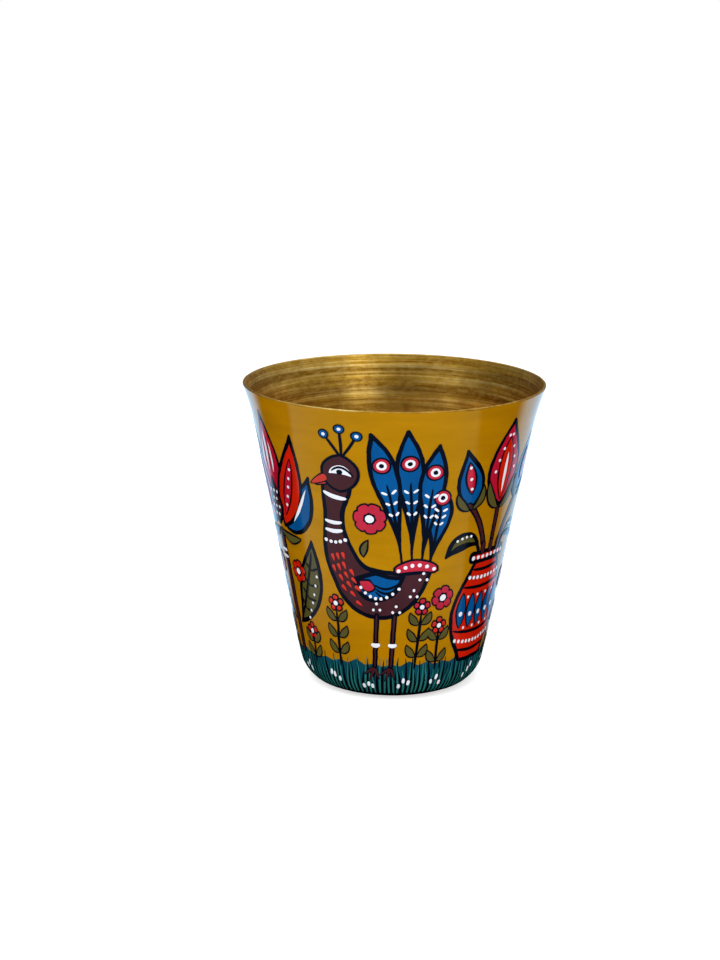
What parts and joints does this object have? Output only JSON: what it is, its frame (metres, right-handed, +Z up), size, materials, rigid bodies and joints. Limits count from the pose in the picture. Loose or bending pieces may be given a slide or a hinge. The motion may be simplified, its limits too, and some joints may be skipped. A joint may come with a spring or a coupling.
{
  "type": "brass tumbler",
  "caption": "Small tapered brass drinking tumbler with a rounded foot and a slightly opened lip, enamelled outside in ochre with a hand-painted frieze of birds and flowers over a grass border",
  "frame": {"origin": "centre of the foot, on the surface that the tumbler stands on", "axes": "+Z is up, along the tumbler's axis of revolution; -Y is the painted side that the picture shows"},
  "size_m": [0.076, 0.076, 0.078],
  "materials": {
    "brass": "satin, turned",
    "ochre_enamel": "glossy enamel",
    "green_enamel": "glossy enamel",
    "brown_enamel": "glossy enamel",
    "blue_enamel": "glossy enamel",
    "red_enamel": "glossy enamel",
    "crimson_enamel": "glossy enamel",
    "olive_enamel": "glossy enamel"
  },
  "bodies": {
    "root": {"brass_cup": "brass", "ground_coat": "ochre_enamel", "grass_border": "green_enamel", "back_peacock_beak": "red_enamel", "back_peacock_body": "brown_enamel", "back_peacock_leg_1": "brown_enamel", "back_peacock_leg_2": "brown_enamel", "back_peacock_tail_feather_1": "blue_enamel", "back_peacock_tail_feather_2": "blue_enamel", "back_peacock_tail_feather_3": "blue_enamel", "back_peacock_tail_feather_4": "blue_enamel", "back_peacock_wing": "blue_enamel", "front_peacock_beak": "red_enamel", "front_peacock_body": "brown_enamel", "front_peacock_leg_1": "brown_enamel", "front_peacock_leg_2": "brown_enamel", "front_peacock_tail_feather_1": "blue_enamel", "front_peacock_tail_feather_2": "blue_enamel", "front_peacock_tail_feather_3": "blue_enamel", "front_peacock_tail_feather_4": "blue_enamel", "front_peacock_wing": "blue_enamel", "left_flowers_left_bud": "blue_enamel", "left_flowers_left_leaf": "olive_enamel", "left_flowers_left_twig": "brown_enamel", "left_flowers_middle_twig": "brown_enamel", "left_flowers_pot": "red_enamel", "left_flowers_pot_lip": "red_enamel", "left_flowers_right_bud": "blue_enamel", "left_flowers_right_leaf": "olive_enamel", "left_flowers_right_twig": "brown_enamel", "left_flowers_tall_bud": "crimson_enamel", "left_lotus_centre_petal": "crimson_enamel", "left_lotus_heart": "brown_enamel", "left_lotus_left_leaf": "olive_enamel", "left_lotus_left_middle_petal": "red_enamel", "left_lotus_left_outer_petal": "blue_enamel", "left_lotus_right_leaf": "olive_enamel", "left_lotus_right_middle_petal": "red_enamel", "left_lotus_right_outer_petal": "blue_enamel", "left_lotus_stem": "brown_enamel", "right_flowers_left_bud": "blue_enamel", "right_flowers_left_leaf": "olive_enamel", "right_flowers_left_twig": "brown_enamel", "right_flowers_middle_twig": "brown_enamel", "right_flowers_pot": "red_enamel", "right_flowers_pot_lip": "red_enamel", "right_flowers_right_bud": "blue_enamel", "right_flowers_right_leaf": "olive_enamel", "right_flowers_right_twig": "brown_enamel", "right_flowers_tall_bud": "crimson_enamel", "right_lotus_centre_petal": "blue_enamel", "right_lotus_heart": "brown_enamel", "right_lotus_left_leaf": "olive_enamel", "right_lotus_left_middle_petal": "red_enamel", "right_lotus_left_outer_petal": "crimson_enamel", "right_lotus_right_leaf": "olive_enamel", "right_lotus_right_middle_petal": "red_enamel", "right_lotus_right_outer_petal": "crimson_enamel", "right_lotus_stem": "brown_enamel"}
  },
  "joints": []
}
